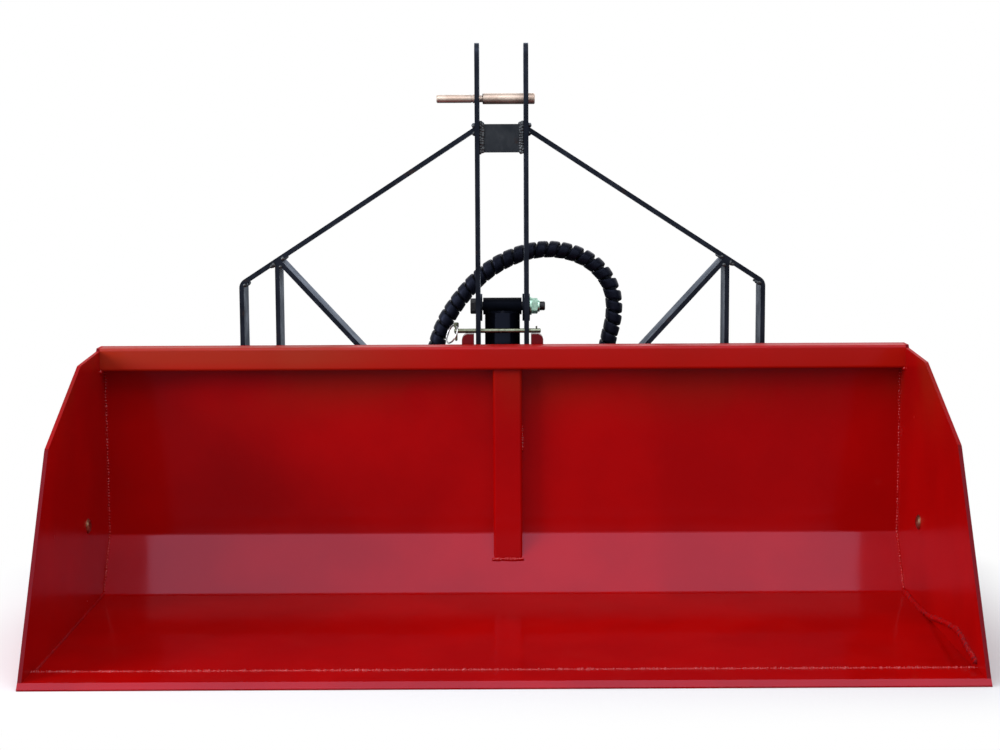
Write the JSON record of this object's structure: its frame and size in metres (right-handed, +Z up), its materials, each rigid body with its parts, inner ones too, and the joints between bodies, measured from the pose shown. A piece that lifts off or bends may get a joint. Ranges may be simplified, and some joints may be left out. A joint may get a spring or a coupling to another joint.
{
  "type": "three-point linkage tipping bucket",
  "caption": "Open-fronted transport bucket that a hydraulic cylinder tips forward on a flat-bar A-frame for a tractor's rear linkage",
  "frame": {"origin": "on the ground, under the middle of the bounding box of everything but the free hose", "axes": "+X across the bucket, -Y out of its mouth, +Y towards the hitch frame, +Z up"},
  "size_m": [1.448, 0.9281, 0.95],
  "materials": {
    "red_paint": "gloss, sprayed over folded sheet and weld beads",
    "dark_steel": "dark mill-scaled hot-rolled bar, lightly oiled",
    "bright_steel": "turned bright steel, greased",
    "yellow_zinc": "yellow-passivated zinc plate",
    "spring_wire": "bright spring wire",
    "black_steel": "blackened steel",
    "green_zinc": "pale green-tinged zinc plate",
    "black_paint": "gloss black",
    "chrome_rod": "ground and hard-chromed",
    "cast_piston": "turned",
    "seal_rubber": "moulded",
    "hose_rubber": "satin, under a spiral guard",
    "coupler_steel": "plated",
    "cap_rubber": "soft red dust cap"
  },
  "bodies": {
    "hitch_frame": {"upright_left": "dark_steel", "upright_right": "dark_steel", "top_cross_plate": "dark_steel", "a_bar_left": "dark_steel", "a_bar_right": "dark_steel", "clevis_plate_left": "dark_steel", "clevis_plate_right": "dark_steel", "brace_left": "dark_steel", "brace_right": "dark_steel", "lower_beam": "dark_steel", "beam_end_caps": "dark_steel", "hinge_ears": "dark_steel", "hinge_bushes": "bright_steel", "pivot_discs": "dark_steel", "cylinder_bolt": "black_steel", "cylinder_bolt_washer": "green_zinc", "cylinder_nut": "green_zinc"},
    "bucket": {"floor_and_back": "red_paint", "side_plate_left": "red_paint", "side_plate_right": "red_paint", "cutting_edge": "red_paint", "top_rail": "red_paint", "centre_rib": "red_paint", "hinge_lugs_left": "red_paint", "hinge_lugs_right": "red_paint", "rod_lugs": "red_paint", "rod_pin": "bright_steel", "rod_pin_washer": "yellow_zinc", "hinge_pins": "bright_steel", "hinge_pin_washers": "yellow_zinc", "lock_lug_left": "red_paint", "lock_lug_right": "red_paint", "side_bolts": "yellow_zinc", "side_bolt_washers": "yellow_zinc", "side_bolt_nuts": "yellow_zinc"},
    "barrel": {"cylinder_barrel": "black_paint", "cylinder_cross_tube": "black_paint", "cylinder_gland": "black_paint", "rod_wiper": "seal_rubber", "port_boss": "black_paint", "port_elbow": "yellow_zinc", "hose_ferrule": "yellow_zinc", "hydraulic_hose": "hose_rubber", "coupler_ferrule": "yellow_zinc", "hose_coupler": "coupler_steel", "coupler_cap": "cap_rubber"},
    "piston_rod": {"piston_rod": "chrome_rod", "piston": "cast_piston", "piston_seal": "seal_rubber", "piston_nut": "black_steel", "rod_eye": "black_paint"},
    "top_link_pin": {"top_link_pin": "yellow_zinc", "top_pin_ring": "yellow_zinc"},
    "lock_rod": {"lock_rod": "yellow_zinc", "lock_stop_pin": "yellow_zinc"},
    "linch_pin": {"linch_pin_body": "yellow_zinc"},
    "linch_ring": {"linch_ring": "spring_wire"}
  },
  "joints": [
    {"name": "bucket_tilt", "type": "hinge", "parent": "hitch_frame", "child": "bucket", "pos_m": [0, 0.3625, 0.06], "axis": [1, 0, 0], "range_deg": [0, 50]},
    {"name": "barrel_swing", "type": "hinge", "parent": "hitch_frame", "child": "barrel", "pos_m": [0, 0.312, 0.492], "axis": [1, 0, 0], "range_deg": [-0.1, 0.6]},
    {"name": "rod_slide", "type": "slide", "parent": "barrel", "child": "piston_rod", "axis": [0, -0.0645, -0.9979], "range_m": [0, 0.068]},
    {"name": "top_pin_slide", "type": "slide", "parent": "hitch_frame", "child": "top_link_pin", "axis": [-1, 0, 0], "range_m": [0, 0.115]},
    {"name": "lock_rod_slide", "type": "slide", "parent": "hitch_frame", "child": "lock_rod", "axis": [1, 0, 0], "range_m": [-0.01, 0.007]},
    {"name": "linch_pin_slide", "type": "slide", "parent": "lock_rod", "child": "linch_pin", "axis": [0, 0, 1], "range_m": [0, 0.03]},
    {"name": "linch_ring_swing", "type": "hinge", "parent": "linch_pin", "child": "linch_ring", "pos_m": [-0.081, 0.271, 0.46225], "axis": [-0.3798, 0.9063, 0.1853], "range_deg": [-20, 110]}
  ],
  "couplings": [
    {"joint": "rod_slide", "follows": "bucket_tilt", "m_per_rad": 0.077347},
    {"joint": "barrel_swing", "follows": "bucket_tilt", "ratio": 0.01072}
  ]
}
